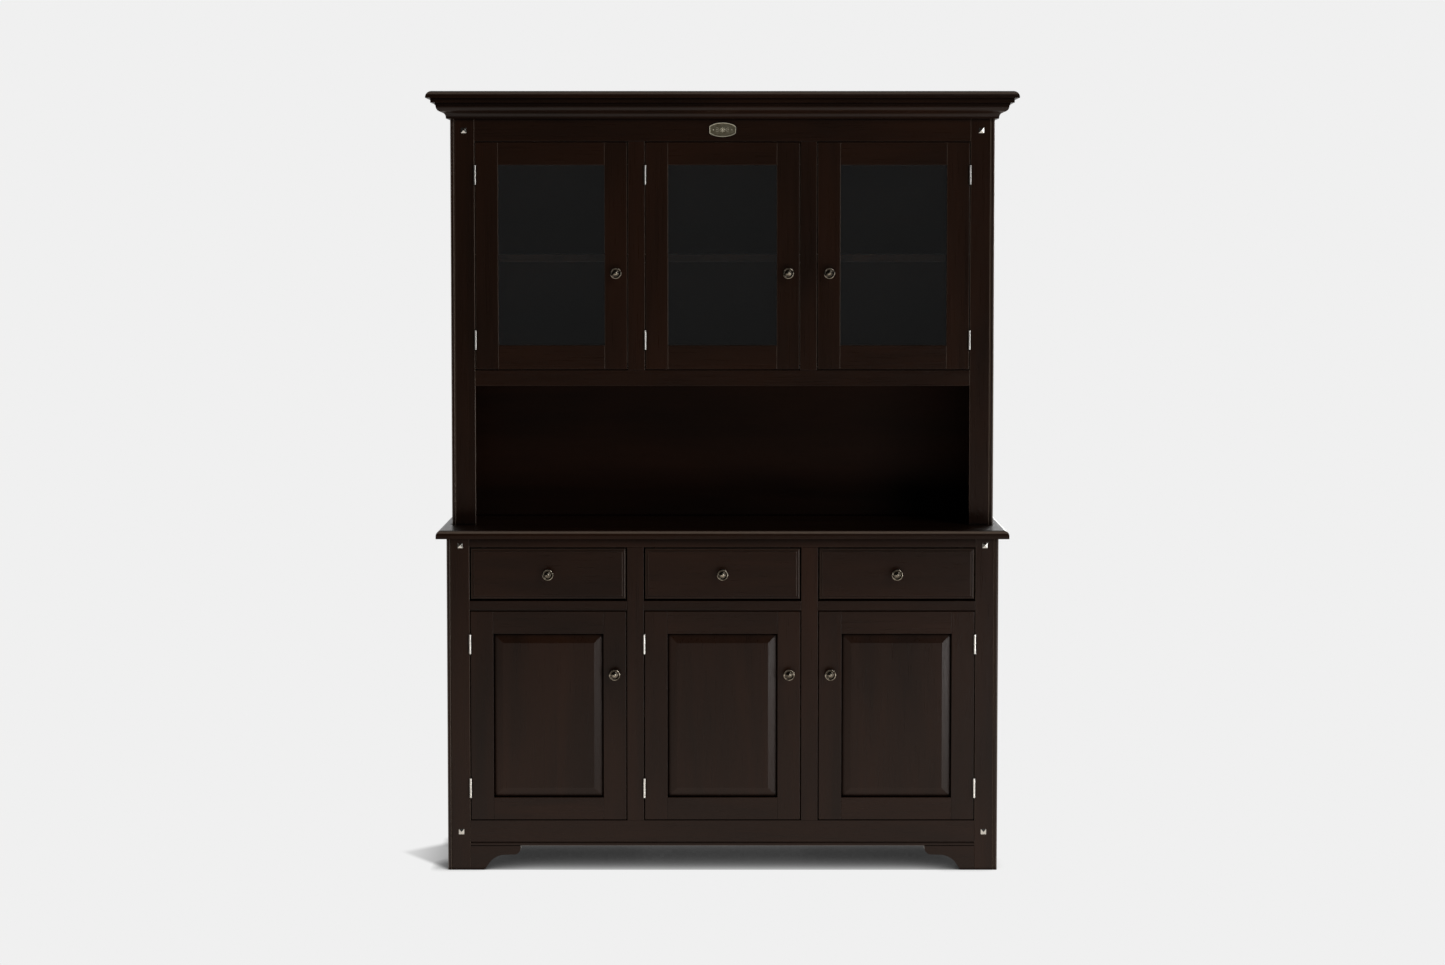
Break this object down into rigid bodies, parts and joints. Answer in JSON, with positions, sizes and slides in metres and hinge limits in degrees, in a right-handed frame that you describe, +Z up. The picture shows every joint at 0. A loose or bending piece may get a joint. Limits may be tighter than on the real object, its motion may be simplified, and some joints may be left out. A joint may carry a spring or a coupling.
{
  "type": "china cabinet",
  "caption": "China cabinet: a sideboard with drawers over panelled doors, and a hutch with an open niche, glazed doors and a moulded cornice.",
  "frame": {"origin": "middle of the bounding box on the floor", "axes": "+X to the cabinet's right as seen from the front, -Y to the front, +Z up"},
  "size_m": [1.563, 0.474, 2.05],
  "materials": {
    "mahogany": "dark red-brown stain under satin lacquer, open straight grain",
    "inner_wood": "plain sealed secondary wood, matt",
    "glass": "clear flat glass",
    "aged_brass": "dark antique cast metal with rubbed bright edges",
    "bright_metal": "bright polished nickel plate",
    "steel": "zinc-plated steel"
  },
  "bodies": {
    "root": {"base_posts": "mahogany", "hutch_posts": "mahogany", "base_mid_stiles": "mahogany", "base_rails": "mahogany", "base_bottom_rail": "mahogany", "bracket_feet": "mahogany", "base_side_panels": "mahogany", "worktop": "mahogany", "hutch_rails": "mahogany", "hutch_mid_stiles": "mahogany", "hutch_side_panels": "mahogany", "cornice_moulding": "mahogany", "cornice_cap": "mahogany", "hutch_shelves": "mahogany", "hutch_partitions": "mahogany", "hutch_deck_panels": "mahogany", "hutch_back_panel": "mahogany", "base_back_panel": "inner_wood", "base_bottom_panel": "inner_wood", "base_partitions": "inner_wood", "drawer_runners": "inner_wood", "base_shelves": "inner_wood", "shelf_pins": "steel", "badge": "aged_brass", "studs": "bright_metal", "hinge_post_leaves": "bright_metal", "door_catches": "steel"},
    "base_door_left": {"base_door_left_frame": "mahogany", "base_door_left_panel": "mahogany", "base_door_left_knob": "aged_brass", "base_door_left_hinge_leaves": "bright_metal"},
    "hutch_door_left": {"hutch_door_left_frame": "mahogany", "hutch_door_left_glass": "glass", "hutch_door_left_knob": "aged_brass", "hutch_door_left_hinge_leaves": "bright_metal"},
    "drawer_left": {"drawer_left_front": "mahogany", "drawer_left_box": "inner_wood", "drawer_left_knob": "aged_brass"},
    "base_door_middle": {"base_door_middle_frame": "mahogany", "base_door_middle_panel": "mahogany", "base_door_middle_knob": "aged_brass", "base_door_middle_hinge_leaves": "bright_metal"},
    "hutch_door_middle": {"hutch_door_middle_frame": "mahogany", "hutch_door_middle_glass": "glass", "hutch_door_middle_knob": "aged_brass", "hutch_door_middle_hinge_leaves": "bright_metal"},
    "drawer_middle": {"drawer_middle_front": "mahogany", "drawer_middle_box": "inner_wood", "drawer_middle_knob": "aged_brass"},
    "base_door_right": {"base_door_right_frame": "mahogany", "base_door_right_panel": "mahogany", "base_door_right_knob": "aged_brass", "base_door_right_hinge_leaves": "bright_metal"},
    "hutch_door_right": {"hutch_door_right_frame": "mahogany", "hutch_door_right_glass": "glass", "hutch_door_right_knob": "aged_brass", "hutch_door_right_hinge_leaves": "bright_metal"},
    "drawer_right": {"drawer_right_front": "mahogany", "drawer_right_box": "inner_wood", "drawer_right_knob": "aged_brass"}
  },
  "joints": [
    {"name": "drawer_left_slide", "type": "slide", "parent": "root", "child": "drawer_left", "axis": [0, -1, 0], "range_m": [0, 0.3]},
    {"name": "drawer_middle_slide", "type": "slide", "parent": "root", "child": "drawer_middle", "axis": [0, -1, 0], "range_m": [0, 0.3]},
    {"name": "drawer_right_slide", "type": "slide", "parent": "root", "child": "drawer_right", "axis": [0, -1, 0], "range_m": [0, 0.3]},
    {"name": "base_door_left_hinge", "type": "hinge", "parent": "root", "child": "base_door_left", "pos_m": [-0.66275, -0.2122, 0.409], "axis": [0, 0, -1], "range_deg": [0, 110]},
    {"name": "base_door_middle_hinge", "type": "hinge", "parent": "root", "child": "base_door_middle", "pos_m": [-0.20542, -0.2122, 0.409], "axis": [0, 0, -1], "range_deg": [0, 110]},
    {"name": "base_door_right_hinge", "type": "hinge", "parent": "root", "child": "base_door_right", "pos_m": [0.66275, -0.2122, 0.409], "axis": [0, 0, 1], "range_deg": [0, 110]},
    {"name": "hutch_door_left_hinge", "type": "hinge", "parent": "root", "child": "hutch_door_left", "pos_m": [-0.65625, -0.0612, 1.615], "axis": [0, 0, -1], "range_deg": [0, 110]},
    {"name": "hutch_door_middle_hinge", "type": "hinge", "parent": "root", "child": "hutch_door_middle", "pos_m": [-0.20542, -0.0612, 1.615], "axis": [0, 0, -1], "range_deg": [0, 110]},
    {"name": "hutch_door_right_hinge", "type": "hinge", "parent": "root", "child": "hutch_door_right", "pos_m": [0.65625, -0.0612, 1.615], "axis": [0, 0, 1], "range_deg": [0, 110]}
  ]
}
